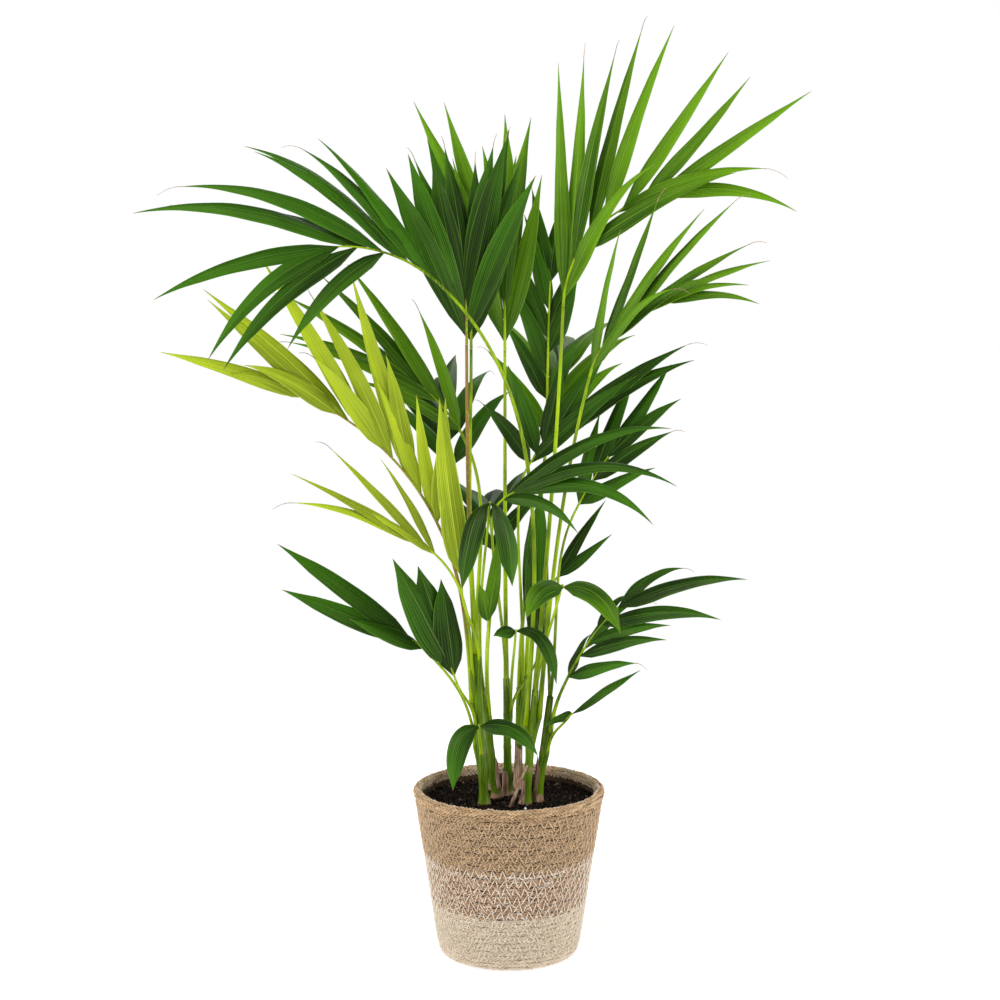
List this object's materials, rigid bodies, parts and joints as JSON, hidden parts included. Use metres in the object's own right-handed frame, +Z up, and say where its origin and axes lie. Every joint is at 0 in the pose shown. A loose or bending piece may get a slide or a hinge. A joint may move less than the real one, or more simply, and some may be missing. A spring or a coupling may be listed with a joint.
{
  "type": "potted_kentia_palm",
  "caption": "Young kentia palm: a clump of feathery green fronds on slender stalks, growing from dark soil in a round woven jute basket with cream, mixed and natural bands",
  "frame": {"origin": "the centre of the basket's flat underside", "axes": "+Z up along the plant, +X to the plant's right as seen from the front, -Y out of the front towards the viewer"},
  "size_m": [0.8189, 0.6712, 1.1654],
  "materials": {
    "jute": "coarse woven natural jute",
    "jute_mixed": "woven jute mixed with off-white yarn",
    "jute_cream": "woven bleached cream jute",
    "soil": "dark crumbly potting soil",
    "stem": "green stem with dry brown sheaths at its foot",
    "stalk": "smooth yellow-green leaf stalk",
    "leaf_deep": "pleated deep green leaf with a soft sheen",
    "leaf_mid": "pleated fresh green leaf with a soft sheen",
    "leaf_pale": "young yellow-green leaf with a soft sheen"
  },
  "bodies": {
    "root": {"basket_cream": "jute_cream", "basket_mixed": "jute_mixed", "basket_jute": "jute", "soil": "soil", "stem_left_front": "stem", "stem_left": "stem", "stem_middle": "stem", "stem_right_front": "stem", "stem_right": "stem", "stem_rear": "stem", "stem_rear_left": "stem", "stalk_arching_left": "stalk", "stalk_centre_fan": "stalk", "stalk_tall_right": "stalk", "stalk_middle_right": "stalk", "stalk_pale_left": "stalk", "stalk_pale_low_left": "stalk", "stalk_hand_right": "stalk", "stalk_inner_right": "stalk", "stalk_back_right": "stalk", "stalk_back_fan": "stalk", "stalk_back_left": "stalk", "stalk_low_left": "stalk", "stalk_broad_low_left": "stalk", "stalk_low_right": "stalk", "stalk_hidden_right": "stalk", "stalk_second_fan": "stalk", "stalk_inner_upright": "stalk", "stalk_rear_left": "stalk", "stalk_rear_right": "stalk", "stalk_rear_low": "stalk", "frond_arching_left": "leaf_deep", "frond_centre_fan": "leaf_deep", "frond_tall_right": "leaf_mid", "frond_middle_right": "leaf_mid", "frond_pale_left": "leaf_pale", "frond_pale_low_left": "leaf_pale", "frond_hand_right": "leaf_deep", "frond_inner_right": "leaf_deep", "frond_back_right": "leaf_deep", "frond_back_fan": "leaf_mid", "frond_back_left": "leaf_mid", "frond_low_left": "leaf_deep", "frond_broad_low_left": "leaf_deep", "frond_low_right": "leaf_deep", "frond_hidden_right": "leaf_deep", "frond_second_fan": "leaf_deep", "frond_inner_upright": "leaf_deep", "frond_rear_left": "leaf_deep", "frond_rear_right": "leaf_mid", "frond_rear_low": "leaf_deep", "frond_notched_right": "leaf_deep", "frond_drooping_right": "leaf_mid", "frond_drooping_middle": "leaf_deep", "frond_drooping_at_rim": "leaf_deep", "frond_drooping_inner": "leaf_deep", "frond_pale_upright": "leaf_pale", "frond_small_fork": "leaf_mid", "frond_small_right": "leaf_deep"}
  },
  "joints": []
}
